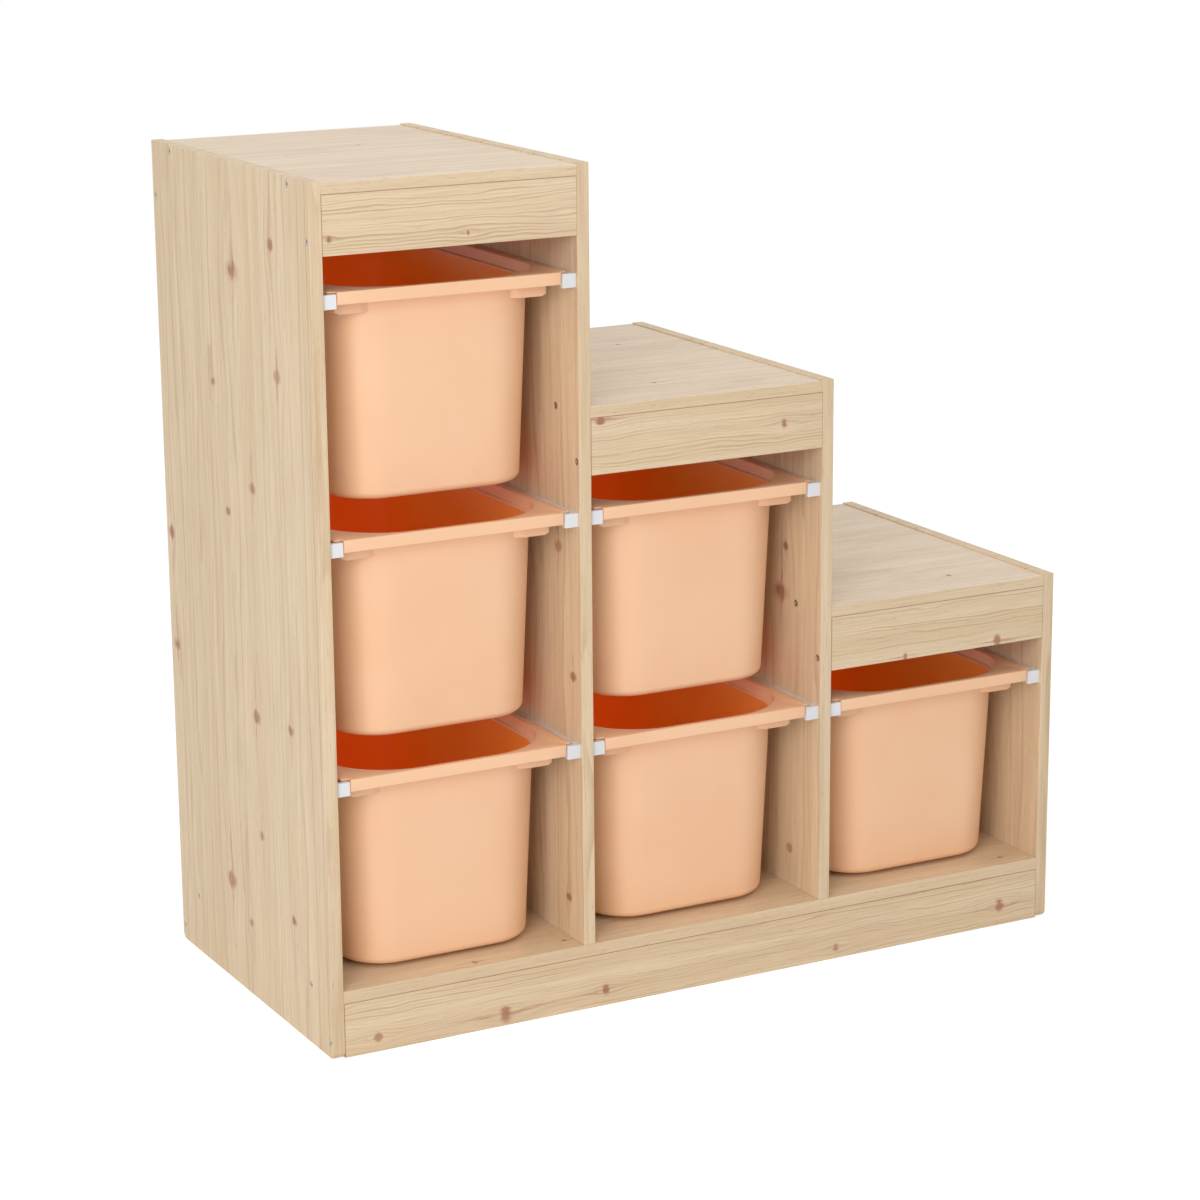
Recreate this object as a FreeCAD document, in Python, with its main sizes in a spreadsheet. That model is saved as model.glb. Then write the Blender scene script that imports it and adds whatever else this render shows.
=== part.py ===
import FreeCAD, Part
import math
import os
import re
import Sketcher

# Stepped storage frame in light wood boards with six hanging plastic bins.
# X runs along the front from the tall end to the low end, Y runs from front to back, Z is up,
# and the origin is on the floor under the middle of the frame.

vector = FreeCAD.Vector
doc = FreeCAD.newDocument("organizer")

sizes = {
    # wood frame
    "panel_thick": 14.0,        # upright panels and dividers
    "bay_width": 287.0,         # clear width between two uprights
    "frame_depth": 434.0,
    "top_thick": 12.0,
    "top_drop": 1.5,            # top boards lie this far below the ends of the uprights
    "apron_height": 62.0,
    "apron_thick": 14.0,
    "base_thick": 14.0,
    "plinth_height": 60.5,
    "plinth_thick": 14.0,
    "foot_round": 8.0,          # lower corners of the two side panels
    "edge_round": 0.8,          # broken edges of every board
    # room around the bins
    "hand_gap": 37.6,           # from a bin's rim up to the apron
    "stack_gap": 29.7,          # from a bin's rim up to the bin above it
    "floor_gap": 4.1,           # from the base board up to the lowest bins
    # runners
    "runner_setback": 4.0,
    "runner_rear_gap": 10.0,
    "block_wide": 15.5,
    "block_deep": 5.5,
    "runner_wall": 5.0,
    "ledge_thick": 3.1,
    "ledge_bearing": 3.8,       # ledge under the shoulder of a bin
    "ledge_setback": 24.5,      # from the front of a block to its ledge
    "peg_wide": 7.0,
    "peg_reach": 5.5,
    "peg_inset": 45.0,
    # bins
    "bin_height": 226.3,
    "bin_setback": 4.5,
    "bin_rear_gap": 17.5,
    "bin_wall": 2.0,
    "bin_taper": 2.79,          # degrees
    "bin_corner": 63.0,
    "bin_bottom_round": 9.0,
    "mouth_corner": 80.0,
    "mouth_setback": 4.8,
    "rim_thick": 1.6,
    "rim_gap": 8.0,             # from an upright to the edge of the rim
    "rim_notch_gap": 1.0,
    "shoulder_tall": 13.5,
    "lip_tall": 13.0,
    "lip_thick": 1.8,
    "skirt_gap": 2.0,           # beside the ledges
    "skirt_setback": 22.5,
    "skirt_tall": 13.4,
    "slide_gap": 1.2,           # beside the blocks
    "pass_gap": 0.3,            # above the blocks
    "seat_gap": 0.3,            # above the ledges
    # fasteners
    "head_wide": 8.0,
    "head_tall": 3.0,
    "head_sunk": 0.3,
    "shank_wide": 5.0,
    "screw_long": 48.0,
    "socket_wide": 4.0,
    "socket_deep": 2.2,
    "dowel_wide": 6.0,
    "dowel_long": 30.0,
    "dowel_in_panel": 9.0,
    "bore_gap": 0.1,            # around a fastener in its bore
    "bore_end_gap": 1.0,
    "board_screw_inset": 54.0,  # screws of the flat boards, from the front and back edges
    "board_dowel_inset": 86.0,
    "apron_screw_rise": 15.5,   # above the lower edge of an apron
    "apron_dowel_rise": 46.0,
    "plinth_screw_rise": 17.5,
    "plinth_dowel_rise": 43.0,
}

sheet = doc.addObject("Spreadsheet::Sheet", "Sizes")
for row, (alias, value) in enumerate(sizes.items(), start=1):
    sheet.set(f"A{row}", alias)
    sheet.set(f"B{row}", str(value))
    sheet.setAlias(f"B{row}", alias)
doc.recompute()


def linked(text):
    """Turn plain size names into references to the sheet."""
    return re.sub(r"[a-z_]+", lambda word: f"Sizes.{word[0]}" if word[0] in sizes else word[0], text)


def bind(item, **expressions):
    for name, text in expressions.items():
        item.setExpression(name, linked(text))


def move(item, place):
    """Set an item at a place whose Y is counted from the front edge of the frame."""
    x_text, y_text, z_text = place
    for axis, text in zip("xyz", (x_text, f"{y_text} - frame_depth / 2", z_text)):
        item.setExpression(f"Placement.Base.{axis}", linked(text))


# Levels and positions, as expressions of the sizes

uprights = 4
pitch = "(bay_width + panel_thick)"
overall = f"({uprights} * panel_thick + {uprights - 1} * bay_width)"
rise = "(bin_height + stack_gap)"
base_top = "(plinth_height + base_thick)"
low_rim = f"({base_top} + floor_gap + bin_height)"
low_top = f"({low_rim} + hand_gap + apron_height + top_thick + top_drop)"
ledge_wide = "(block_wide + slide_gap + ledge_bearing)"
runner_long = "(frame_depth - runner_setback - runner_rear_gap)"
runner_tall = "(shoulder_tall + seat_gap + ledge_thick - rim_thick - pass_gap)"
bin_deep = "(frame_depth - bin_setback - bin_rear_gap)"


def upright_left(index):
    """X of the left face of upright 0 to 3, from the middle of the frame."""
    return f"({index} * {pitch} - {overall} / 2)"


def bay_left(index):
    return f"({upright_left(index)} + panel_thick)"


def tower_top(bay):
    """Height of the uprights around bay 0, 1 or 2: the tallest tower is bay 0."""
    return f"({low_top} + {2 - bay} * {rise})"


def rim_top(level):
    return f"({low_rim} + {level} * {rise})"


# Sketches

def new_sketch(body, name, role, level="0"):
    plane = [item for item in body.Origin.OriginFeatures if item.Role == role][0]
    sketch = body.newObject("Sketcher::SketchObject", name)
    sketch.AttachmentSupport = [(plane, "")]
    sketch.MapMode = "FlatFace"
    sketch.setExpression("AttachmentOffset.Base.z", linked(level))
    return sketch


def pin_point(sketch, line, end, x_text, y_text):
    for kind, axis, text in (("DistanceX", -2, x_text), ("DistanceY", -1, y_text)):
        if text == "0":
            sketch.addConstraint(Sketcher.Constraint("PointOnObject", line, end, axis))
        else:
            index = sketch.addConstraint(Sketcher.Constraint(kind, -1, 1, line, end, 10.0))
            sketch.setExpression(f"Constraints[{index}]", linked(text))


def draw_polygon(sketch, corners):
    """A closed outline of straight lines whose every corner is tied to the sizes."""
    count = len(corners)
    start = sketch.GeometryCount
    spots = [vector(20 + 9 * turn, 30 + 7 * turn * turn, 0) for turn in range(count)]
    for turn in range(count):
        sketch.addGeometry(Part.LineSegment(spots[turn], spots[(turn + 1) % count]))
    for turn in range(count):
        here, after = start + turn, start + (turn + 1) % count
        sketch.addConstraint(Sketcher.Constraint("Coincident", here, 2, after, 1))
    for turn, (x_text, y_text) in enumerate(corners):
        pin_point(sketch, start + turn, 1, x_text, y_text)


def rectangle(x_low, y_low, x_high, y_high):
    return [(x_low, y_low), (x_high, y_low), (x_high, y_high), (x_low, y_high)]


def draw_rounded(sketch, half, near, far, radius):
    """A rectangle from -half to half and from near to far with four equal round corners."""
    wide, low, high, turn = 120.0, 5.0, 400.0, 50.0
    quarter = math.pi / 2
    corners = [(vector(wide - turn, low + turn, 0), 3), (vector(wide - turn, high - turn, 0), 0),
               (vector(turn - wide, high - turn, 0), 1), (vector(turn - wide, low + turn, 0), 2)]
    sides = [((turn - wide, low), (wide - turn, low)), ((wide, low + turn), (wide, high - turn)),
             ((wide - turn, high), (turn - wide, high)), ((-wide, high - turn), (-wide, low + turn))]
    for begin, finish in sides:
        sketch.addGeometry(Part.LineSegment(vector(*begin, 0), vector(*finish, 0)))
    for centre, step in corners:
        circle = Part.Circle(centre, vector(0, 0, 1), turn)
        sketch.addGeometry(Part.ArcOfCircle(circle, step * quarter, (step + 1) * quarter))
    for side in range(4):
        arc, after = 4 + side, (side + 1) % 4
        sketch.addConstraint(Sketcher.Constraint("Tangent", side, 2, arc, 1))
        sketch.addConstraint(Sketcher.Constraint("Tangent", arc, 2, after, 1))
        direction = "Horizontal" if side % 2 == 0 else "Vertical"
        sketch.addConstraint(Sketcher.Constraint(direction, side))
        if side:
            sketch.addConstraint(Sketcher.Constraint("Equal", 4, arc))
    measures = [("Radius", (4,), turn, radius), ("DistanceY", (-1, 1, 0, 1), low, near),
                ("DistanceY", (-1, 1, 2, 1), high, far), ("DistanceX", (-1, 1, 1, 1), wide, half),
                ("DistanceX", (3, 1, -1, 1), wide, half)]
    for kind, ends, value, text in measures:
        index = sketch.addConstraint(Sketcher.Constraint(kind, *ends, value))
        sketch.setExpression(f"Constraints[{index}]", linked(text))


def grow(body, name, kind, sketch, length, taper=None, reverse=False):
    """Add a pad or a pocket and make sure that it adds or cuts something."""
    before = body.Shape.Volume if body.Tip else 0.0
    feature = body.newObject(f"PartDesign::{kind}", name)
    feature.Profile = sketch
    feature.Reversed = reverse
    bind(feature, Length=length)
    if taper:
        bind(feature, TaperAngle=taper)
    doc.recompute()
    change = body.Shape.Volume - before
    if (change <= 0) if kind == "Pad" else (change >= 0):
        raise ValueError(f"{body.Label}: {name} changed the volume by {change:.3f}")
    return feature


def round_edges(body, name, radius, chosen):
    """Round the edges of the body's last feature that the test picks."""
    base = body.Tip
    names = [f"Edge{index}" for index, edge in enumerate(base.Shape.Edges, start=1) if chosen(edge)]
    if not names:
        raise ValueError(f"{body.Label}: {name} found no edge")
    feature = body.newObject("PartDesign::Fillet", name)
    feature.Base = (base, names)
    bind(feature, Radius=radius)
    doc.recompute()


# Wood boards: a rectangular blank with broken edges, and the bores for its fasteners

finished = []


def finish_piece(item, label):
    item.Label = label
    finished.append(item)


def blank(name, place, lengths, round_feet=False):
    body = doc.addObject("PartDesign::Body", f"{name}_blank")
    sketch = new_sketch(body, f"{name}_outline", "XY_Plane")
    draw_polygon(sketch, rectangle("0", "0", lengths[0], lengths[1]))
    grow(body, f"{name}_pad", "Pad", sketch, lengths[2])
    if round_feet:
        round_edges(body, f"{name}_feet", "foot_round",
                    lambda edge: abs(edge.BoundBox.ZMax) < 1e-6 and edge.BoundBox.YLength < 1e-6)
    limits = "; ".join(f"{length} / 4" for length in lengths)
    round_edges(body, f"{name}_edges", f"min(edge_round; {limits})", lambda edge: True)
    move(body, place)
    return body


def bore(name, place, axis, radius, length):
    """A cylinder along +X, -X or +Z that starts at a place."""
    turns = {"+X": (vector(0, 1, 0), 90), "-X": (vector(0, 1, 0), -90), "+Z": (vector(0, 0, 1), 0)}
    item = doc.addObject("Part::Cylinder", name)
    item.Placement = FreeCAD.Placement(vector(0, 0, 0), FreeCAD.Rotation(*turns[axis]))
    bind(item, Radius=radius, Height=length)
    move(item, place)
    return item


def drilled(name, body, bores):
    tool = doc.addObject("Part::Compound", f"{name}_bores")
    tool.Links = bores
    cut = doc.addObject("Part::Cut", f"{name}_cut")
    cut.Base, cut.Tool = body, tool
    doc.recompute()
    finish_piece(cut, name)
    return cut


def shift(place, x_text="0", y_text="0", z_text="0"):
    return tuple(f"({old} + {more})" for old, more in zip(place, (x_text, y_text, z_text)))


class Joinery:
    """Screws and dowels of one upright, with the bores that they need in it and in the boards."""

    def __init__(self, name):
        self.name = name
        self.screws = []
        self.dowels = []
        self.bores = []

    def screw(self, face, axis, board_bores):
        """A screw that enters at a place on a face and runs along the axis into a board."""
        inward = f"{'-' if axis == '-X' else ''}1"
        along = "z_text" if axis == "+Z" else "x_text"
        tag = f"{self.name}_screw{len(self.screws)}"
        sunk = shift(face, **{along: f"{inward} * head_sunk"})
        head = bore(f"{tag}_head", sunk, axis, "head_wide / 2", "head_tall")
        shank = bore(f"{tag}_shank", sunk, axis, "shank_wide / 2", "screw_long - head_sunk")
        solid = doc.addObject("Part::Fuse", f"{tag}_blank")
        solid.Base, solid.Tool = head, shank
        socket = doc.addObject("Part::Prism", f"{tag}_socket")
        socket.Placement = head.Placement
        bind(socket, Circumradius="socket_wide / sqrt(3)", Height="socket_deep")
        move(socket, sunk)
        cut = doc.addObject("Part::Cut", tag)
        cut.Base, cut.Tool = solid, socket
        self.screws.append(cut)
        self.bores.append(bore(f"{tag}_seat", face, axis, "head_wide / 2 + bore_gap",
                               "head_sunk + head_tall"))
        self.bores.append(bore(f"{tag}_way", face, axis, "shank_wide / 2 + bore_gap", "panel_thick"))
        board_bores.append(bore(f"{tag}_hold", face, axis, "shank_wide / 2 + bore_gap",
                                "screw_long + bore_end_gap"))

    def dowel(self, face, axis, board_bores):
        """A dowel that starts inside the upright and runs along the axis out of its face."""
        back = f"{'' if axis == '-X' else '-'}1"
        along = "z_text" if axis == "+Z" else "x_text"
        tag = f"{self.name}_dowel{len(self.dowels)}"
        start = shift(face, **{along: f"{back} * dowel_in_panel"})
        self.dowels.append(bore(tag, start, axis, "dowel_wide / 2", "dowel_long"))
        hole_start = shift(face, **{along: f"{back} * (dowel_in_panel + bore_end_gap)"})
        hole_long = "dowel_long + 2 * bore_end_gap"
        self.bores.append(bore(f"{tag}_seat", hole_start, axis, "dowel_wide / 2 + bore_gap",
                               "dowel_in_panel + bore_end_gap"))
        board_bores.append(bore(f"{tag}_hold", hole_start, axis, "dowel_wide / 2 + bore_gap", hole_long))

    def finish(self):
        for kind, items in (("screws", self.screws), ("dowels", self.dowels)):
            group = doc.addObject("Part::Compound", f"{self.name}_{kind}_group")
            group.Links = items
            finish_piece(group, f"{self.name}_{kind}")


names = ["left_panel", "tall_divider", "middle_divider", "right_panel"]
towers = ["tall", "middle", "low"]
joins = {name: Joinery(name) for name in names}
board_ways = ["board_screw_inset", "(frame_depth - board_screw_inset)"]
dowel_ways = ["board_dowel_inset", "(frame_depth - board_dowel_inset)"]


def fasten_end(upright, side, places, board_bores):
    """Join a board's end to an upright. Side +1 means that the board lies right of the upright."""
    left = upright_left(upright)
    right = bay_left(upright)
    axis = "+X" if side > 0 else "-X"
    entry, exit_face = (left, right) if side > 0 else (right, left)
    join = joins[names[upright]]
    for kind, y_text, z_text in places:
        if kind == "screw":
            join.screw((entry, y_text, z_text), axis, board_bores)
        else:
            join.dowel((exit_face, y_text, z_text), axis, board_bores)


def make_board(name, bay_from, bay_to, y_low, z_low, deep, tall, places, more_bores=()):
    """A board between two uprights with the same fasteners at both ends."""
    length = f"({bay_to - bay_from} * bay_width + {bay_to - bay_from - 1} * panel_thick)"
    bores = list(more_bores)
    fasten_end(bay_from, +1, places, bores)
    fasten_end(bay_to, -1, places, bores)
    drilled(name, blank(name, (bay_left(bay_from), y_low, z_low), (length, deep, tall)), bores)


def make_tops():
    """Top board, front apron and rear rail of each tower."""
    rear = "(frame_depth - apron_thick)"
    for bay, tower in enumerate(towers):
        top_low = f"({tower_top(bay)} - top_drop - top_thick)"
        apron_low = f"({top_low} - apron_height)"
        middle = f"({top_low} + top_thick / 2)"
        flat = [("screw", way, middle) for way in board_ways] + [("dowel", way, middle) for way in dowel_ways]
        make_board(f"{tower}_top_board", bay, bay + 1, "0", top_low, "frame_depth", "top_thick", flat)
        for piece, front in ((f"{tower}_front_apron", "0"), (f"{tower}_rear_rail", rear)):
            core = f"({front} + apron_thick / 2)"
            edge = [("screw", core, f"({apron_low} + apron_screw_rise)"),
                    ("dowel", core, f"({apron_low} + apron_dowel_rise)")]
            make_board(piece, bay, bay + 1, front, apron_low, "apron_thick", "apron_height", edge)


foot_screws = Joinery("divider_foot")


def make_base():
    """Base board, with the two dividers on it, and the plinths under its front and back edges."""
    foot_bores = {1: [], 2: []}
    for upright, bores in foot_bores.items():
        core = f"({upright_left(upright)} + panel_thick / 2)"
        for way in board_ways:
            foot_screws.screw((core, way, "plinth_height"), "+Z", bores)
        for way in dowel_ways:
            foot_screws.dowel((core, way, base_top), "+Z", bores)
    middle = "(plinth_height + base_thick / 2)"
    flat = [("screw", way, middle) for way in board_ways] + [("dowel", way, middle) for way in dowel_ways]
    make_board("base_board", 0, 3, "0", "plinth_height", "frame_depth", "base_thick", flat, foot_screws.bores)
    rear = "(frame_depth - plinth_thick)"
    for piece, front in (("front_plinth", "0"), ("rear_plinth", rear)):
        core = f"({front} + plinth_thick / 2)"
        edge = [("screw", core, "plinth_screw_rise"), ("dowel", core, "plinth_dowel_rise")]
        make_board(piece, 0, 3, front, "0", "plinth_thick", "plinth_height", edge)
    foot_screws.finish()
    return foot_bores


# Runners: an L rail along each upright, closed at the front by a square block, with pegs

def runner_pegs():
    ends = ["peg_inset", f"({runner_long} / 2)", f"({runner_long} - peg_inset)"]
    return [(spot, f"({runner_tall} / 2)") for spot in ends]


def make_runner(name, face, outward, rim):
    """A runner whose back lies on a face. Outward +1 means that it reaches towards +X."""
    def across(text):
        return text if outward > 0 else f"(-1 * {text})"

    body = doc.addObject("PartDesign::Body", name)
    rail = new_sketch(body, f"{name}_section", "XZ_Plane")
    draw_polygon(rail, rectangle("0", "0", across("runner_wall"), runner_tall))
    rail.setExpression("AttachmentOffset.Base.z", linked("-1 * block_deep"))
    grow(body, f"{name}_rail", "Pad", rail, f"{runner_long} - block_deep", reverse=True)
    ledge = new_sketch(body, f"{name}_ledge_section", "XZ_Plane")
    draw_polygon(ledge, rectangle("0", "0", across(ledge_wide), "ledge_thick"))
    ledge.setExpression("AttachmentOffset.Base.z", linked("-1 * ledge_setback"))
    grow(body, f"{name}_ledge", "Pad", ledge, f"{runner_long} - ledge_setback", reverse=True)
    face_sketch = new_sketch(body, f"{name}_square", "XZ_Plane")
    draw_polygon(face_sketch, rectangle("0", "0", across("block_wide"), runner_tall))
    grow(body, f"{name}_block", "Pad", face_sketch, "block_deep", reverse=True)
    pegs = new_sketch(body, f"{name}_peg_circles", "YZ_Plane")
    for turn, (y_text, z_text) in enumerate(runner_pegs()):
        pegs.addGeometry(Part.Circle(vector(40 + 120 * turn, 8, 0), vector(0, 0, 1), 3))
        pin_point(pegs, turn, 3, y_text, z_text)
        index = pegs.addConstraint(Sketcher.Constraint("Diameter", turn, 6.0))
        pegs.setExpression(f"Constraints[{index}]", linked("peg_wide"))
    grow(body, f"{name}_pegs", "Pad", pegs, "peg_reach", reverse=outward > 0)
    place = (face, "runner_setback", f"({rim} - rim_thick - pass_gap - {runner_tall})")
    move(body, place)
    finish_piece(body, name)
    return place


def make_runners():
    """Runners on both sides of every bin place, and the peg bores that they need in the uprights."""
    for bay, tower in enumerate(towers):
        for level in range(3 - bay):
            for side, upright, outward in (("left", bay, +1), ("right", bay + 1, -1)):
                face = bay_left(bay) if outward > 0 else upright_left(bay + 1)
                name = f"{tower}_{side}_runner_{level + 1}"
                place = make_runner(name, face, outward, rim_top(level))
                for turn, (y_text, z_text) in enumerate(runner_pegs()):
                    start = shift(place, "0", y_text, z_text)
                    axis = "-X" if outward > 0 else "+X"
                    joins[names[upright]].bores.append(
                        bore(f"{name}_peg_bore{turn}", start, axis, "peg_wide / 2 + bore_gap",
                             "peg_reach + bore_gap"))


# Bins: a tapered tub with a wider mouth, a rim plate, lips front and back, and side skirts

mouth_half = "(bay_width / 2 - block_wide - slide_gap)"
rim_half = "(bay_width / 2 - rim_gap)"
skirt_half = f"(bay_width / 2 - {ledge_wide} - skirt_gap)"
tub_tall = "(bin_height - shoulder_tall)"
rim_notch = "(runner_setback + block_deep + rim_notch_gap - bin_setback)"


def minus(text):
    return f"(-1 * {text})"


def tub_body(name, wall, mouth_tall):
    """The tub and its mouth, drawn in by a wall: 0 gives the outside and bin_wall the hollow.

    Its own frame has X from the middle of the bin, Y from the front lip and Z from the under side
    of the shoulder.
    """
    body = doc.addObject("PartDesign::Body", name)
    near = f"(skirt_setback + {wall})"
    far = f"({bin_deep} - skirt_setback - {wall})"
    tub = new_sketch(body, f"{name}_tub_outline", "XY_Plane", wall)
    draw_rounded(tub, f"({skirt_half} - {wall})", near, far, f"bin_corner - {wall}")
    grow(body, f"{name}_tub", "Pad", tub, tub_tall, taper="-1 * bin_taper", reverse=True)
    bottom = body.Shape.BoundBox.ZMin
    round_edges(body, f"{name}_bottom_round", f"bin_bottom_round - {wall}",
                lambda edge: edge.BoundBox.ZMax < bottom + 1e-3)
    near = f"(mouth_setback + {wall})"
    far = f"({bin_deep} - mouth_setback - {wall})"
    mouth = new_sketch(body, f"{name}_mouth_outline", "XY_Plane", wall)
    draw_rounded(mouth, f"({mouth_half} - {wall})", near, far, f"mouth_corner + bin_wall - {wall}")
    grow(body, f"{name}_mouth", "Pad", mouth, mouth_tall)
    return body


def make_bin(name, bay, level):
    body = tub_body(f"{name}_outside", "0", "shoulder_tall")

    rim = new_sketch(body, f"{name}_rim_outline", "XY_Plane", "shoulder_tall - rim_thick")
    far = f"({bin_deep} - {rim_notch})"
    right = [(mouth_half, "0"), (mouth_half, rim_notch), (rim_half, rim_notch),
             (rim_half, far), (mouth_half, far), (mouth_half, bin_deep)]
    left = [(minus(x_text), y_text) for x_text, y_text in reversed(right)]
    draw_polygon(rim, right + left)
    grow(body, f"{name}_rim", "Pad", rim, "rim_thick")

    for side, y_low, y_high in (("front", "0", "lip_thick"), ("back", f"({bin_deep} - lip_thick)", bin_deep)):
        lip = new_sketch(body, f"{name}_{side}_lip_outline", "XY_Plane", "shoulder_tall - lip_tall")
        draw_polygon(lip, rectangle(minus(mouth_half), y_low, mouth_half, y_high))
        grow(body, f"{name}_{side}_lip", "Pad", lip, "lip_tall")

    skirt = new_sketch(body, f"{name}_skirt_outline", "XY_Plane")
    edges = (minus(skirt_half), "skirt_setback", skirt_half, f"({bin_deep} - skirt_setback)")
    draw_polygon(skirt, rectangle(*edges))
    inner = [f"({edge} {sign} bin_wall)" for edge, sign in zip(edges, "++--")]
    draw_polygon(skirt, rectangle(*inner))
    grow(body, f"{name}_skirt", "Pad", skirt, "skirt_tall", reverse=True)

    tub = doc.addObject("Part::Cut", f"{name}_cut")
    tub.Base = body
    tub.Tool = tub_body(f"{name}_hollow", "bin_wall", "shoulder_tall")
    middle = f"({bay_left(bay)} + bay_width / 2)"
    move(tub, (middle, "bin_setback", f"({rim_top(level)} - shoulder_tall)"))
    finish_piece(tub, name)


def make_bins():
    for bay, tower in enumerate(towers):
        for level in range(3 - bay):
            make_bin(f"{tower}_bin_{level + 1}", bay, level)


def make_uprights(foot_bores):
    """Side panels stand on the floor, dividers on the base board."""
    for index, name in enumerate(names):
        join = joins[name]
        side = index in (0, uprights - 1)
        low = "0" if side else base_top
        top = tower_top(max(index - 1, 0))
        lengths = ("panel_thick", "frame_depth", f"({top} - {low})")
        body = blank(name, (upright_left(index), "0", low), lengths, round_feet=side)
        drilled(name, body, join.bores + foot_bores.get(index, []))
        join.finish()


make_tops()
foot_bores = make_base()
make_runners()
make_uprights(foot_bores)
make_bins()
doc.recompute()

for item in doc.Objects:
    if "Invalid" in item.State or "Error" in item.State:
        raise ValueError(f"{item.Label} failed: {item.State}")
for item in finished:
    if item.Shape.isNull() or not item.Shape.isValid():
        raise ValueError(f"{item.Label} has no valid shape")

os.makedirs("parts", exist_ok=True)
for item in finished:
    item.Shape.exportStep(f"parts/{item.Label}.step")
    print(f"{item.Label}: {len(item.Shape.Solids)} solid(s), {item.Shape.Volume / 1000:.1f} cm3")
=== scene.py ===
import math

import bmesh
import bpy
from mathutils import Matrix, Vector


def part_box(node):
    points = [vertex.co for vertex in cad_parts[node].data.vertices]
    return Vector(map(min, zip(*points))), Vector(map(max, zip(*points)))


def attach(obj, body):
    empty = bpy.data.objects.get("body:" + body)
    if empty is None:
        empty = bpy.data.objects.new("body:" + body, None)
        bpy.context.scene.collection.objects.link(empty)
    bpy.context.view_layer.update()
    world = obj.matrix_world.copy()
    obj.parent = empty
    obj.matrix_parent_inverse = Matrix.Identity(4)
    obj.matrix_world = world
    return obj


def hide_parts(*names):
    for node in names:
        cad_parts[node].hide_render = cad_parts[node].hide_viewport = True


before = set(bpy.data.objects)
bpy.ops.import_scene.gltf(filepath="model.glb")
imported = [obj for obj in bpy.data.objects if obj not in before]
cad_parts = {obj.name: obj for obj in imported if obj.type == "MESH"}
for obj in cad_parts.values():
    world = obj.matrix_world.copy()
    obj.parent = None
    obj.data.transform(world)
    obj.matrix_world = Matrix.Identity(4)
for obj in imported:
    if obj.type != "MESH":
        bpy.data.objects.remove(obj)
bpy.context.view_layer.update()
scene = bpy.context.scene
mm = 0.001
print("frame: loaded", len(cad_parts), "nodes")

towerNames = ["tall", "middle", "low"]


# small helpers for meshes and node trees

def meshPiece(name, mesh):
    piece = bpy.data.objects.new(name, mesh)
    scene.collection.objects.link(piece)
    return piece


def shadeSmooth(mesh, angle=40):
    mesh.shade_smooth()
    mesh.set_sharp_from_angle(angle=math.radians(angle))


def feed(tree, socket, value):
    # links another node's socket to this one, or sets this one's value
    if isinstance(value, bpy.types.NodeSocket):
        tree.links.new(value, socket)
    else:
        socket.default_value = value


def addNode(tree, kind, inputs=None, **settings):
    # inputs maps a socket's name or number to what feeds it
    node = tree.nodes.new(kind)
    for setting, value in settings.items():
        setattr(node, setting, value)
    for key, value in (inputs or {}).items():
        feed(tree, node.inputs[key], value)
    return node


def math1(tree, operation, first, second=None, third=None, clamp=False):
    given = {number: value for number, value in enumerate((first, second, third)) if value is not None}
    return addNode(tree, "ShaderNodeMath", given, operation=operation, use_clamp=clamp).outputs[0]


def vector1(tree, operation, first, second):
    return addNode(tree, "ShaderNodeVectorMath", {0: first, 1: second}, operation=operation).outputs[0]


def join(tree, x, y, z):
    return addNode(tree, "ShaderNodeCombineXYZ", {0: x, 1: y, 2: z}).outputs[0]


def split(tree, vector):
    return addNode(tree, "ShaderNodeSeparateXYZ", {0: vector}).outputs


def spread(tree, value, low, high, outLow=0.0, outHigh=1.0, smooth=True):
    # carries low..high over to outLow..outHigh and holds the ends
    given = {0: value, 1: low, 2: high, 3: outLow, 4: outHigh}
    node = addNode(tree, "ShaderNodeMapRange", given, clamp=True)
    node.interpolation_type = "SMOOTHSTEP" if smooth else "LINEAR"
    return node.outputs[0]


def mixColour(tree, share, first, second):
    return addNode(tree, "ShaderNodeMix", {0: share, 6: first, 7: second}, data_type="RGBA").outputs[2]


def colour(red, green, blue):
    # a screen colour from 0 to 255 as the linear colour that a shader takes
    parts = [part / 255 for part in (red, green, blue)]
    return tuple(p / 12.92 if p <= 0.04045 else ((p + 0.055) / 1.055) ** 2.4 for p in parts) + (1.0,)


def newMaterial(name):
    material = bpy.data.materials.new(name)
    material.use_nodes = True
    tree = material.node_tree
    return material, tree, tree.nodes["Principled BSDF"]


def noise(tree, place, scale, detail=2.0, roughness=0.5):
    given = {"Vector": place, "Scale": scale, "Detail": detail, "Roughness": roughness}
    return addNode(tree, "ShaderNodeTexNoise", given).outputs[0]


def addBump(tree, shader, height, strength, distance):
    bump = addNode(tree, "ShaderNodeBump", {"Strength": strength, "Distance": distance, "Height": height})
    tree.links.new(bump.outputs["Normal"], shader.inputs["Normal"])


def finishNode(node, material):
    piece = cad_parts[node]
    piece.data.materials.clear()
    piece.data.materials.append(material)


# camera: the photograph's own place, looking down over the front left corner

cameraSetup = {
    "place": (-1.7498, -3.2505, 1.3453),
    "yaw": -0.4893,
    "pitch": 1.3192,
    "roll": -0.0083,
    "lens": 99.66,
    "sensor": 36.0,
}


def makeCamera():
    data = bpy.data.cameras.new("camera")
    data.lens = cameraSetup["lens"]
    data.sensor_width = cameraSetup["sensor"]
    camera = bpy.data.objects.new("camera", data)
    scene.collection.objects.link(camera)
    turn = Matrix.Rotation(cameraSetup["yaw"], 4, "Z") @ Matrix.Rotation(cameraSetup["pitch"], 4, "X")
    turn = turn @ Matrix.Rotation(cameraSetup["roll"], 4, "Z")
    camera.matrix_world = Matrix.Translation(cameraSetup["place"]) @ turn
    scene.camera = camera


# light and floor: a white studio, a tall softbox at the front left and a weak one overhead

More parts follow.
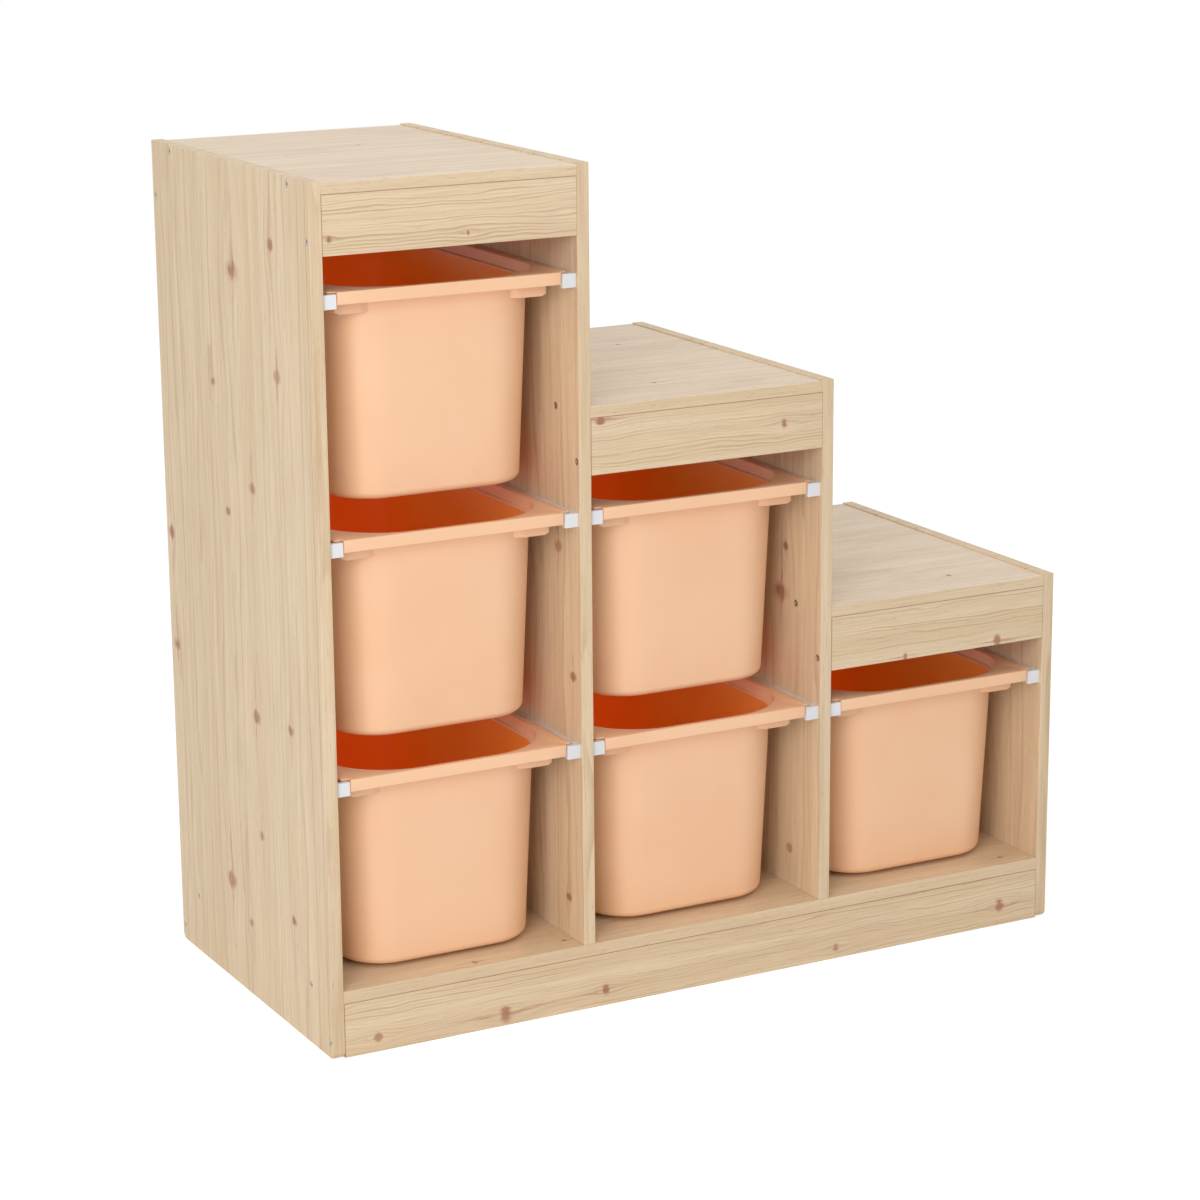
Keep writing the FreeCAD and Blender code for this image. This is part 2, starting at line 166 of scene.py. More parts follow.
studio = {
    "ambient": 0.57,
    "sideLamp": {"power": 66.0, "wide": 1.6, "tall": 2.4, "place": (-2.7, -2.9, 1.6)},
    "topLamp": {"power": 14.0, "wide": 3.0, "tall": 3.0, "place": (0.0, -0.2, 3.2)},
    "target": (-0.1, -0.2, 0.45),
    "floorSize": 60.0,
    "floorColour": (0.80, 0.80, 0.80, 1.0),
    "floorGlow": 0.55,                      # only in what the camera and reflections see
}


def seenDirectly(tree):
    # 1 for camera, glossy and transmission rays, 0 for the light that the studio gives
    path = addNode(tree, "ShaderNodeLightPath")
    seen = math1(tree, "MAXIMUM", path.outputs["Is Camera Ray"], path.outputs["Is Glossy Ray"])
    return math1(tree, "MAXIMUM", seen, path.outputs["Is Transmission Ray"])


def makeStudio():
    world = bpy.data.worlds.new("studio")
    scene.world = world
    world.use_nodes = True
    tree = world.node_tree
    background = tree.nodes["Background"]
    background.inputs["Color"].default_value = (1, 1, 1, 1)
    strength = spread(tree, seenDirectly(tree), 0, 1, studio["ambient"], 1.0, smooth=False)
    tree.links.new(strength, background.inputs["Strength"])

    for name in ("sideLamp", "topLamp"):
        made = studio[name]
        softbox = bpy.data.lights.new(name, "AREA")
        softbox.shape = "RECTANGLE"
        softbox.size = made["wide"]
        softbox.size_y = made["tall"]
        softbox.energy = made["power"]
        lamp = bpy.data.objects.new(name, softbox)
        lamp.location = made["place"]
        away = Vector(made["place"]) - Vector(studio["target"])
        lamp.rotation_euler = away.to_track_quat("Z", "Y").to_euler()
        scene.collection.objects.link(lamp)

    half = studio["floorSize"] / 2
    mesh = bpy.data.meshes.new("floor")
    mesh.from_pydata([(-half, -half, 0), (half, -half, 0), (half, half, 0), (-half, half, 0)], [],
                     [(0, 1, 2, 3)])
    floor = meshPiece("floor", mesh)
    material, tree, shader = newMaterial("floorPaper")
    tree.nodes.remove(shader)
    paper = addNode(tree, "ShaderNodeBsdfDiffuse", {"Color": studio["floorColour"]})
    glow = addNode(tree, "ShaderNodeEmission",
                   {"Strength": math1(tree, "MULTIPLY", seenDirectly(tree), studio["floorGlow"])})
    both = addNode(tree, "ShaderNodeAddShader", {0: paper.outputs[0], 1: glow.outputs[0]})
    tree.links.new(both.outputs[0], tree.nodes["Material Output"].inputs["Surface"])
    mesh.materials.append(material)


# wood: pale pine look with fine grain, soft staves and small knots

pine = {
    "light": colour(235, 212, 179),
    "deep": colour(222, 195, 157),
    "paintedTopLight": colour(245, 226, 201),     # painted light: the steps' upper faces, drawn paler as if lit from above
    "paintedTopDeep": colour(236, 213, 185),
    "line": colour(184, 149, 106),
    "edgeLineAndSeamShade": colour(150, 116, 84),          # the fine line behind the left panel's front edge, and painted shade in the hairline where a rail meets the next board
    "dash": colour(176, 146, 116),
    "blush": colour(224, 197, 168),         # pale grey-pink clouds
    "knot": colour(184, 132, 108),
    "knotHeart": colour(150, 98, 76),
    "roughness": 0.5,
    "bump": 0.14,
    "stave": 57.0,                          # mm, the glued strips of a board
    "edgeLine": 9.5,                        # mm, a fine line behind the left panel's front edge
    "toneShare": 0.60,                      # how much each of these tints the board, from 0 to 1
    "staveShare": 0.24,
    "blushShare": 0.40,
    "fibreShare": 0.32,
    "knotShare": 0.78,
    "heartShare": 0.6,
    "seamShadeShare": 0.7,
    "edgeLineShare": 0.45,
    "seedShift": (137.0, 61.0, 311.0),      # mm from one board's noise to the next one's
}

# the noises of a board: mm across, mm along, own shift in mm, detail, roughness
pineNoise = {
    "tone": (17, 620, 0, 2.0, 0.5),
    "fibre": (0.9, 70, 40, 3.0, 0.62),
    "pores": (1.2, 15, 90, 2.0, 0.6),
    "patch": (9, 190, 230, 1.0, 0.5),
    "cloud": (40, 130, 310, 2.0, 0.5),
    "ripple": (14, 34, 410, 1.0, 0.5),
}

# how the grain lies on a board: the axes across, through and along it, the rings' spacing in mm, how strong
# lines and dashes are, the noise that bends the rings, and by how many rings it and the ripple move them
grainKinds = {
    "upright": {"axes": "YXZ", "ring": 12.5, "lines": 0.46, "dashes": 0.42,
                "bend": (36, 280, 170, 2.0, 0.45), "sway": 4.4, "wave": 0.0},
    "shelf": {"axes": "YZX", "ring": 9.0, "lines": 0.26, "dashes": 0.60,
              "bend": (30, 260, 170, 2.0, 0.45), "sway": 3.0, "wave": 0.0},
    "rail": {"axes": "ZYX", "ring": 3.6, "lines": 0.68, "dashes": 0.35,
             "bend": (24, 130, 170, 2.0, 0.45), "sway": 4.4, "wave": 0.9},
}


# a knot, in its own sizes across and along
knotShape = {
    "push": (2.0, 5.0),                     # how far it moves the grain aside, and by which share
    "pushShare": 0.82,
    "heart": (1.45, 1.15),
    "heartEdge": (0.32, 0.86),
    "tail": (0.17, 5.5),                    # the streak above and below it
    "tailLean": 9.0,                        # mm
}


def knotGroup():
    # One knot: pushes the grain aside and adds its own dark heart and streaks. All lengths are in mm.
    group = bpy.data.node_groups.new("pineKnot", "ShaderNodeTree")
    for name, kind in (("Place", "Vector"), ("Centre", "Vector"), ("Size", "Float"), ("Wobble", "Float"),
                       ("Across", "Float"), ("Knot", "Float"), ("Streak", "Float")):
        group.interface.new_socket(name, in_out="INPUT", socket_type=f"NodeSocket{kind}")
    for name in ("Across", "Knot", "Streak"):
        group.interface.new_socket(name, in_out="OUTPUT", socket_type="NodeSocketFloat")
    given = addNode(group, "NodeGroupInput").outputs
    away = vector1(group, "SUBTRACT", given["Place"], given["Centre"])
    parts = split(group, away)
    size = given["Size"]
    across = math1(group, "DIVIDE", parts[0], size)
    along = math1(group, "DIVIDE", parts[2], size)

    def bell(first, second):
        # 1 where both are 0, falling off where either grows past 1
        square = math1(group, "ADD", math1(group, "MULTIPLY", first, first),
                       math1(group, "MULTIPLY", second, second))
        return math1(group, "EXPONENT", math1(group, "MULTIPLY", square, -1.0))

    def sizesAway(wide, tall):
        # how far out, where wide and tall are so many of the knot's sizes
        return math1(group, "DIVIDE", across, wide), math1(group, "DIVIDE", along, tall)

    push = math1(group, "MULTIPLY", parts[0], bell(*sizesAway(*knotShape["push"])))
    push = math1(group, "MULTIPLY", push, knotShape["pushShare"])
    heart = math1(group, "ADD", bell(*sizesAway(*knotShape["heart"])), given["Wobble"])
    heart = spread(group, heart, *knotShape["heartEdge"])
    tailWide, tailTall = knotShape["tail"]
    lean = math1(group, "ADD", parts[0], math1(group, "MULTIPLY", given["Wobble"], knotShape["tailLean"]))
    thin = math1(group, "DIVIDE", lean, math1(group, "MULTIPLY", size, tailWide))
    tail = bell(thin, math1(group, "DIVIDE", along, tailTall))
    made = addNode(group, "NodeGroupOutput")
    for name, value in (("Across", math1(group, "SUBTRACT", given["Across"], push)),
                        ("Knot", math1(group, "MAXIMUM", given["Knot"], heart)),
                        ("Streak", math1(group, "MAXIMUM", given["Streak"], tail))):
        group.links.new(value, made.inputs[name])
    return group


def seamShadeLine(tree, node, across, along):
    # painted shade: the share of the dark hairline, standing in for the shade in the seam, that lies at a
    # rail's top edge and at its ends
    low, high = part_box(node)
    half = (high.x - low.x) / 2 / mm
    away = math1(tree, "ABSOLUTE", math1(tree, "SUBTRACT", along, (low.x + high.x) / 2 / mm))
    lines = []
    for value, edge in ((across, high.z / mm), (away, half)):
        lines.append(spread(tree, value, edge - 1.0, edge - 0.3, 0.0, pine["seamShadeShare"]))
    return math1(tree, "MAXIMUM", *lines)


def pineMaterial(node, kind, knots, seed, knotNode):
    # knots lists (across, along, size) in mm, in the object's own coordinates
    grain = grainKinds[kind]
    material, tree, shader = newMaterial(f"pine_{node}")
    given = addNode(tree, "ShaderNodeTexCoord").outputs
    axes = split(tree, given["Object"])
    turned = join(tree, *(axes["XYZ".index(axis)] for axis in grain["axes"]))
    board = addNode(tree, "ShaderNodeVectorMath", {0: turned, "Scale": 1 / mm}, operation="SCALE").outputs[0]
    across, through, along = split(tree, board)
    wobble = noise(tree, vector1(tree, "MULTIPLY", board, (0.16, 0.16, 0.03)), 1.0)
    wobble = math1(tree, "MULTIPLY", math1(tree, "SUBTRACT", wobble, 0.5), 1.1)

    acrossNow, knotNow, streakNow = across, 0.0, 0.0
    for knotAcross, knotAlong, knotSize in knots:
        # only across and along count, so a knot goes through the board
        centre = join(tree, knotAcross, through, knotAlong)
        values = {"Place": board, "Centre": centre, "Size": knotSize, "Wobble": wobble, "Across": acrossNow,
                  "Knot": knotNow, "Streak": streakNow}
        knot = addNode(tree, "ShaderNodeGroup", values, node_tree=knotNode)
        acrossNow, knotNow, streakNow = (knot.outputs[key] for key in ("Across", "Knot", "Streak"))

    def stretched(wide, tall, shift, detail, roughness):
        # noise that the board's squeezed coordinates draw into fibres wide by tall mm
        shiftX, shiftY, shiftZ = (seed * step for step in pine["seedShift"])
        moved = vector1(tree, "ADD", join(tree, acrossNow, through, along),
                        (shiftX + shift, shiftY, shiftZ + shift))
        squeezed = vector1(tree, "MULTIPLY", moved, (1 / wide, 1 / wide, 1 / tall))
        return noise(tree, squeezed, 1.0, detail, roughness)

    tone, fibre, pores, patch, cloud = (stretched(*pineNoise[name])
                                        for name in ("tone", "fibre", "pores", "patch", "cloud"))

    # staves: each glued strip has its own tone
    stave = math1(tree, "DIVIDE", math1(tree, "ADD", across, seed * 19.0), pine["stave"])
    strip = addNode(tree, "ShaderNodeTexWhiteNoise",
                    {"W": math1(tree, "ADD", math1(tree, "FLOOR", stave), seed * 7.0)},
                    noise_dimensions="1D").outputs[0]

    # growth rings: lines with one sharp side that wander and come and go
    phase = math1(tree, "ADD", math1(tree, "DIVIDE", acrossNow, grain["ring"]),
                  math1(tree, "MULTIPLY", stretched(*grain["bend"]), grain["sway"]))
    if grain["wave"]:
        ripple = stretched(*pineNoise["ripple"])
        phase = math1(tree, "ADD", phase, math1(tree, "MULTIPLY", ripple, grain["wave"]))
    rise = math1(tree, "FRACT", phase)
    ring = math1(tree, "MULTIPLY", spread(tree, rise, 0.35, 0.93), spread(tree, rise, 1.0, 0.955))
    each = addNode(tree, "ShaderNodeTexWhiteNoise", {"W": math1(tree, "FLOOR", phase)},
                   noise_dimensions="1D").outputs[0]
    ring = math1(tree, "MULTIPLY", ring, math1(tree, "MULTIPLY", spread(tree, each, 0.1, 1.0, 0.15, 1.0),
                                               spread(tree, patch, 0.34, 0.60, 0.2, 1.0)))

    strip = math1(tree, "MULTIPLY", math1(tree, "SUBTRACT", strip, 0.5), pine["staveShare"])
    share = math1(tree, "ADD", spread(tree, tone, 0.34, 0.66, 0.0, pine["toneShare"]), strip, clamp=True)
    wood = mixColour(tree, share, pine["light"], pine["deep"])
    # painted light: the top boards' upward faces are drawn paler, standing in for the light from above
    if "top_board" in node:
        upwards = split(tree, given["Normal"])[2]
        paintedTop = mixColour(tree, share, pine["paintedTopLight"], pine["paintedTopDeep"])
        wood = mixColour(tree, spread(tree, upwards, 0.3, 0.7), wood, paintedTop)
    wood = mixColour(tree, spread(tree, cloud, 0.52, 0.72, 0.0, pine["blushShare"]), wood, pine["blush"])
    wood = mixColour(tree, spread(tree, fibre, 0.42, 0.72, 0.0, pine["fibreShare"]), wood, pine["line"])
    wood = mixColour(tree, math1(tree, "MULTIPLY", ring, grain["lines"]), wood, pine["line"])
    wood = mixColour(tree, spread(tree, pores, 0.60, 0.74, 0.0, grain["dashes"]), wood, pine["dash"])
    if knots:
        streak = math1(tree, "MULTIPLY", streakNow, spread(tree, fibre, 0.3, 0.6, 0.35, 0.85))
        wood = mixColour(tree, streak, wood, pine["knot"])
        wood = mixColour(tree, math1(tree, "MULTIPLY", knotNow, pine["knotShare"]), wood, pine["knot"])
        inner = spread(tree, knotNow, 0.75, 1.0, 0.0, pine["heartShare"])
        wood = mixColour(tree, math1(tree, "MULTIPLY", inner, spread(tree, patch, 0.3, 0.6)), wood,
                         pine["knotHeart"])
    if node == "left_panel":
        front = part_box(node)[0].y / mm + pine["edgeLine"]
        away = math1(tree, "ABSOLUTE", math1(tree, "SUBTRACT", across, front))
        wood = mixColour(tree, spread(tree, away, 1.1, 0.3, 0.0, pine["edgeLineShare"]), wood, pine["edgeLineAndSeamShade"])
    # painted shade: a dark hairline at the rail's top edge and ends stands in for the shade in the seam where
    # it meets the next board
    if kind == "rail":
        wood = mixColour(tree, seamShadeLine(tree, node, across, along), wood, pine["edgeLineAndSeamShade"])
    tree.links.new(wood, shader.inputs["Base Color"])
    tree.links.new(spread(tree, fibre, 0.3, 0.7, pine["roughness"] - 0.05, pine["roughness"] + 0.08),
                   shader.inputs["Roughness"])
    height = math1(tree, "ADD", fibre, math1(tree, "MULTIPLY", ring, 0.4))
    addBump(tree, shader, height, pine["bump"], 0.0002)
    return material


# knots that show, as (across, along, size) in mm on each board
boardKnots = {
    "left_panel": [(-8, 814, 12.5), (-116, 855, 8.0), (-122, 719, 9.5), (59, 686, 5.5), (-44, 587, 8.0),
                   (203, 490, 8.0), (28, 548, 5.5), (197, 359, 8.0), (-33, 332, 8.5), (-130, 341, 6.5),
                   (-39, 198, 6.5), (55, 120, 11.0), (-122, 126, 6.5), (1, 86, 6.0)],
    "tall_divider": [(-166, 513, 7.0), (-197, 375, 6.0), (-183, 120, 5.0), (60, 640, 7.0), (110, 250, 9.0)],
    "middle_divider": [(-132, 417, 12.0), (-141, 472, 5.0), (-153, 118, 5.5), (90, 300, 7.0)],
    "right_panel": [(150, 330, 7.0), (-40, 210, 9.0), (80, 90, 6.0)],
    "base_board": [(-204, -285, 3.6), (-191, -169, 3.0), (-194, 408, 3.0), (-60, 40, 4.0), (90, -330, 4.4),
                   (120, 250, 4.0)],
    "front_plinth": [(14, -255, 8.0), (19, -131, 5.0), (24, 393, 6.5), (14, 167, 4.0), (16, -406, 5.0)],
    "tall_front_apron": [(872, -437, 3.6), (867, -283, 2.2)],
    "middle_front_apron": [(658, -132, 5.5), (631, 94, 4.8)],
    "low_front_apron": [(348, 381, 5.5), (346, 256, 3.5)],
    "tall_top_board": [(5, -386, 2.0), (93, -159, 2.0), (60, -280, 3.0)],
    "middle_top_board": [(-130, -19, 3.0), (100, 60, 2.6)],
    "low_top_board": [(-161, 351, 3.0), (90, 250, 3.0)],
    "rear_plinth": [(40, -200, 3.6), (25, 220, 4.0)],
    "tall_rear_rail": [(880, -350, 3.0)],
    "middle_rear_rail": [(640, 40, 3.0)],
    "low_rear_rail": [(380, 290, 3.0)],
}


def boardKind(node):
    if node.endswith(("_panel", "_divider")):
        return "upright"
    return "shelf" if node.endswith("_board") else "rail"


dowelWood = {
    "light": colour(214, 178, 134),
    "deep": colour(186, 146, 102),
    "roughness": 0.6,
}


def finishBoards():
    knotNode = knotGroup()
    for seed, (node, knots) in enumerate(boardKnots.items()):
        finishNode(node, pineMaterial(node, boardKind(node), knots, seed + 1, knotNode))
    material, tree, shader = newMaterial("beechDowel")
    place = addNode(tree, "ShaderNodeTexCoord").outputs["Object"]
    grain = noise(tree, vector1(tree, "MULTIPLY", place, (60.0, 900.0, 900.0)), 1.0, 3.0)
    feed(tree, shader.inputs["Base Color"], mixColour(tree, grain, dowelWood["light"], dowelWood["deep"]))
    shader.inputs["Roughness"].default_value = dowelWood["roughness"]
    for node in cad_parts:
        if node.endswith("_dowels"):
            finishNode(node, material)
    print("boards: pine on", len(boardKnots), "boards")


# plastics and steel

# texture is the size in mm of the fine matt texture that the mould leaves
plastics = {
    "binPlastic": {"light": (0.98, 0.615, 0.380, 1.0), "deep": (0.96, 0.585, 0.350, 1.0), "roughness": 0.40,
                   "texture": 0.7},
    # painted light: the tub's inner faces take a deeper, redder orange than the same plastic outside,
    # standing in for the light that bounces and shines through inside the tub
    "binPlasticInsidePaintedLight": {"light": (1.0, 0.36, 0.075, 1.0), "deep": (1.0, 0.33, 0.06, 1.0), "roughness": 0.40,
                         "texture": 0.7},
    "runnerPlastic": {"light": colour(238, 239, 242), "deep": colour(229, 230, 234), "roughness": 0.36,
                      "texture": 0.5},
}

# light that spreads in the tub's wall, and a faint glow that stands in for what the wall lets through
insideLight = {
    "Subsurface Weight": 0.8,
    "Subsurface Radius": (1.0, 0.50, 0.22),
    "Subsurface Scale": 0.006,
    "Emission Color": (1.0, 0.19, 0.0, 1.0),
    "Emission Strength": 0.07,
}

steel = {
    "light": colour(204, 202, 192),
    "deep": colour(174, 172, 160),
    "roughness": (0.32, 0.5),
}


def mouldedPlastic(name, extra=None):
    made = plastics[name]
    roughness = made["roughness"]
    material, tree, shader = newMaterial(name)
    place = addNode(tree, "ShaderNodeTexCoord").outputs["Object"]
    cloud = noise(tree, place, 9.0)
    fine = noise(tree, place, 1 / (made["texture"] * mm))
    tint = mixColour(tree, spread(tree, cloud, 0.35, 0.65), made["light"], made["deep"])
    tree.links.new(tint, shader.inputs["Base Color"])
    tree.links.new(spread(tree, fine, 0.3, 0.7, roughness - 0.04, roughness + 0.05),
                   shader.inputs["Roughness"])
    for key, value in {"IOR": 1.49, **(extra or {})}.items():
        shader.inputs[key].default_value = value
    addBump(tree, shader, fine, 0.05, 0.0001)
    return material


def zincSteel():
    material, tree, shader = newMaterial("zincSteel")
    place = addNode(tree, "ShaderNodeTexCoord").outputs["Object"]
    grain = noise(tree, place, 900.0, 3.0)
    tree.links.new(mixColour(tree, grain, steel["light"], steel["deep"]), shader.inputs["Base Color"])
    tree.links.new(spread(tree, grain, 0.3, 0.7, *steel["roughness"]), shader.inputs["Roughness"])
    shader.inputs["Metallic"].default_value = 1.0
    addBump(tree, shader, grain, 0.1, 0.0001)
    return material


# bins: one closed shell, lofted through rounded outlines from the floor's outside over the rim to its inside

binShape = {                                # mm, X from the middle, Y from the front lip, Z from the shoulder
    "mouthHalf": 126.8,
    "rimHalf": 135.5,
    "depth": 412.0,
    "shoulderTall": 13.5,
    "mouthSetback": 4.8,                    # of the mouth's front wall behind the lip
    "mouthCorner": 82.0,
    "tubHalf": 121.0,
    "tubSetback": 22.5,
    "tubCorner": 63.0,
    "tubTall": 212.8,
    "taper": 2.79,                          # degrees
    "bottomRound": 9.0,
    "wall": 2.0,
    "rimThick": 1.6,
    "lipTall": 13.0,
    "lipThick": 1.8,
    "notch": 6.0,                           # the rim's corners make room for the runner's block
    "edge": 0.6,                            # rounding of the rim's and the lip's edges
    "turn": 1.5,                            # rounding of the rim's corners in plan
    "lipPoints": (34.0, 62.0),              # so the rim's corner has as many points as the mouth's
    "sidePoints": (30.0, 58.0),
    "mouthFoot": 2.0,                       # rounding at the foot of the mouth's wall
    "tubEdge": 1.4,                         # rounding of the tub's own edge, and where its middle lies
    "tubEdgeMiddle": 0.41,
    "floorMiddle": 25.0,                    # from the floor's round to the ring that closes the floor
    "tabTall": 13.4,
    "tabSideTall": 11.4,
    "cornerSteps": 13,
    "floorSteps": 7,
}

midRound = 0.29                             # of its radius, how far a round's middle lies inside its corner


def roundedOutline(half, near, far, radius, level):
    # four corners, counter-clockwise from the front right one, each in even steps
    steps = binShape["cornerSteps"]
    corners = [(half - radius, near + radius, -90), (half - radius, far - radius, 0),
               (radius - half, far - radius, 90), (radius - half, near + radius, 180)]
    points = []
    for x, y, start in corners:
        for step in range(steps + 1):
            angle = math.radians(start + 90 * step / steps)
            points.append((x + radius * math.cos(angle), y + radius * math.sin(angle), level))
    return points


def rimCorner():
    # (x, y, inward x, inward y, under the lip) from the front to the side of the front right corner
    s = binShape
    radius, x, far, turn, notch = s["mouthCorner"], s["mouthHalf"], s["rimHalf"], s["turn"], s["notch"]
    start = x - radius
    side = [(far, y, -1, 0) for y in (notch + turn, *s["sidePoints"], s["mouthSetback"] + radius)]
    lip = [(start + out, 0, 0, 1) for out in (0, *s["lipPoints"])]
    lip += [(x - turn, 0, 0, 1), (x - midRound * turn, midRound * turn, -0.7, 0.7), (x, turn, -1, 0)]
    inner = [(x, s["lipThick"], -1, 0), (x, notch, -1, 1), (far - turn, notch, 0, 1),
             (far - midRound * turn, notch + midRound * turn, -0.7, 0.7)]
    return [(*point, True) for point in lip] + [(*point, False) for point in inner + side]


def rimOutline(inset, highLevel, lowLevel=None, lipInset=None):
    # the rim's outer edge drawn in by an inset; the lip's part may lie lower and be drawn in by its own inset
    depth = binShape["depth"]
    corner = []
    for x, y, inX, inY, underLip in rimCorner():
        if underLip and lowLevel is not None:
            corner.append((x, max(y, lipInset), lowLevel))
        else:
            corner.append((x + inset * inX, y + inset * inY, highLevel))
    back = [(x, depth - y, z) for x, y, z in reversed(corner)]
    left = [(-x, y, z) for x, y, z in reversed(corner)]
    backLeft = [(-x, depth - y, z) for x, y, z in corner]
    return corner + back + backLeft + left


def binRings():
    # the rings outside the tub and over the rim, and those of the tub's inside
    s = binShape
    near, far = s["mouthSetback"], s["depth"] - s["mouthSetback"]
    tubNear, tubFar = s["tubSetback"], s["depth"] - s["tubSetback"]
    slope = math.tan(math.radians(s["taper"]))
    top, edge, wall = s["shoulderTall"], s["edge"], s["wall"]
    rimLow = top - s["rimThick"]
    lipLow = top - s["lipTall"]

    def tub(inset, level):
        return roundedOutline(s["tubHalf"] - inset, tubNear + inset, tubFar - inset, s["tubCorner"] - inset,
                              level)

    def bottomRound(radius, start, bottom, inset):
        # the arc from the tapered wall to the flat floor
        level = bottom + radius
        centre = inset + (start - level) * slope + radius / math.cos(math.radians(s["taper"]))
        rings = []
        for step in range(s["floorSteps"] + 1):
            angle = math.radians(-s["taper"] - (90 - s["taper"]) * step / s["floorSteps"])
            rings.append(tub(centre - radius * math.cos(angle), level + radius * math.sin(angle)))
        return rings + [tub(centre + s["floorMiddle"], bottom)]

    rings = bottomRound(s["bottomRound"], 0, -s["tubTall"], 0)[::-1]
    rings += [tub(0.02, -0.4), tub(-0.4, 0)]
    mouth = s["mouthHalf"]
    rings += [roundedOutline(mouth - edge, near, far, s["mouthCorner"], 0),
              roundedOutline(mouth, near, far, s["mouthCorner"], edge),
              roundedOutline(mouth, near, far, s["mouthCorner"], rimLow)]
    rings += [rimOutline(edge / 2, rimLow, rimLow, s["lipThick"]),
              rimOutline(edge / 2, rimLow, lipLow + edge / 2, s["lipThick"]),
              rimOutline(edge / 2, rimLow, lipLow, s["lipThick"] - edge / 2),
              rimOutline(edge / 2, rimLow, lipLow, edge / 2),
              rimOutline(0, rimLow + edge / 2, lipLow + edge / 2, 0.0),
              rimOutline(0, top - edge),
              rimOutline(midRound * edge, top - midRound * edge),
              rimOutline(edge, top)]
    hollow = mouth - wall
    corner = s["mouthCorner"] - wall
    nearIn, farIn = near + wall, far - wall
    # three small rounds: the rim's inner edge, the foot of the mouth's wall and the tub's own edge
    for out, down in ((edge, 0), (midRound * edge, midRound * edge), (0, edge)):
        rings.append(roundedOutline(hollow + out, nearIn - out, farIn + out, corner + out, top - down))
    foot, tubEdge, middle = s["mouthFoot"], s["tubEdge"], s["tubEdgeMiddle"]
    for inward, up in ((0, foot), (midRound * foot, midRound * foot), (foot, 0)):
        rings.append(roundedOutline(hollow - inward, nearIn + inward, farIn - inward, corner - inward,
                                    wall + up))
    for out, down in ((tubEdge, 0), (middle, middle), (0, tubEdge)):
        rings.append(tub(wall - out, wall - down))
    return rings, bottomRound(s["bottomRound"] - wall, wall, wall - s["tubTall"], wall)


# plan of the front right corner's tab, an L around the tub's corner: x, y, and 1 where it is only tabSideTall
tabPlan = [(80.0, 27.4, 0), (83.0, 26.7, 0), (86.5, 24.4, 0), (90.0, 23.0, 0), (94.0, 22.5, 0),
           (115.5, 22.5, 0), (119.0, 22.5, 1), (120.4, 23.1, 1), (121.0, 24.5, 1), (121.0, 50.0, 1),
           (120.4, 53.5, 1), (119.0, 57.0, 1), (116.6, 60.5, 1), (114.6, 61.5, 1), (118.0, 54.0, 1),
           (119.0, 50.0, 1), (119.0, 24.5, 1), (94.0, 24.5, 0), (86.0, 29.9, 0)]


def addTab(mesh, sideways, backwards):
    # one closed tab under the shoulder, mirrored to its corner
    s = binShape
    depth = s["depth"]
    bottom, top = [], []
    for x, y, short in tabPlan:
        place = (x * sideways, depth - y if backwards else y)
        low = -s["tabTall"] + short * (s["tabTall"] - s["tabSideTall"])
        bottom.append(mesh.verts.new((*place, low)))
        top.append(mesh.verts.new((*place, s["wall"] / 2)))
    mesh.faces.new(bottom)
    mesh.faces.new(top)
    for turn in range(len(bottom)):
        after = (turn + 1) % len(bottom)
        mesh.faces.new((bottom[turn], bottom[after], top[after], top[turn]))


def binMesh():
    mesh = bmesh.new()
    outer, inner = binRings()
    rings = [[mesh.verts.new(point) for point in ring] for ring in outer + inner]
    count = len(rings[0])
    for number, (lower, upper) in enumerate(zip(rings, rings[1:])):
        for turn in range(count):
            after = (turn + 1) % count
            face = mesh.faces.new((lower[turn], lower[after], upper[after], upper[turn]))
            # the tub's inner faces take the inside plastic, with its painted bounce light
            face.material_index = int(number >= len(outer) - 1)
    mesh.faces.new(rings[0][::-1])
    mesh.faces.new(rings[-1]).material_index = 1
    bmesh.ops.remove_doubles(mesh, verts=mesh.verts, dist=1e-4)
    bmesh.ops.dissolve_degenerate(mesh, edges=mesh.edges, dist=1e-4)
    for sideways in (1, -1):
        for backwards in (False, True):
            addTab(mesh, sideways, backwards)
    bmesh.ops.recalc_face_normals(mesh, faces=mesh.faces)
    return mesh


def makeBins(outside, inside):
    for bay, tower in enumerate(towerNames):
        for level in range(3 - bay):
            node = f"{tower}_bin_{level + 1}"
            low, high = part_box(node)
            place = Vector(((low.x + high.x) / 2, low.y, high.z - binShape["shoulderTall"] * mm))
            shell = binMesh()
            for vertex in shell.verts:
                vertex.co = vertex.co * mm + place
            mesh = bpy.data.meshes.new(f"{node}_shell")
            shell.to_mesh(mesh)
            shell.free()
            mesh.materials.append(outside)
            mesh.materials.append(inside)
            piece = meshPiece(f"{node}_shell", mesh)
            shadeSmooth(mesh)
            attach(piece, f"bin_{tower}_{level + 1}")
            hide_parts(node)
    print("bins: six shells")


# geometry node trees: runners and screws

def newTree(name, sizes):
    tree = bpy.data.node_groups.new(name, "GeometryNodeTree")
    tree.interface.new_socket("Geometry", in_out="INPUT", socket_type="NodeSocketGeometry")
    for size, value in sizes.items():
        socket = tree.interface.new_socket(size, in_out="INPUT", socket_type="NodeSocketFloat")
        socket.default_value = value
    socket = tree.interface.new_socket("Material", in_out="INPUT", socket_type="NodeSocketMaterial")
    tree.interface.new_socket("Geometry", in_out="OUTPUT", socket_type="NodeSocketGeometry")
    return tree, addNode(tree, "NodeGroupInput").outputs


def closeTree(tree, geometry, material):
    real = addNode(tree, "GeometryNodeRealizeInstances", {0: geometry}).outputs[0]
    painted = addNode(tree, "GeometryNodeSetMaterial", {"Geometry": real, "Material": material}).outputs[0]
    addNode(tree, "NodeGroupOutput", {0: painted})


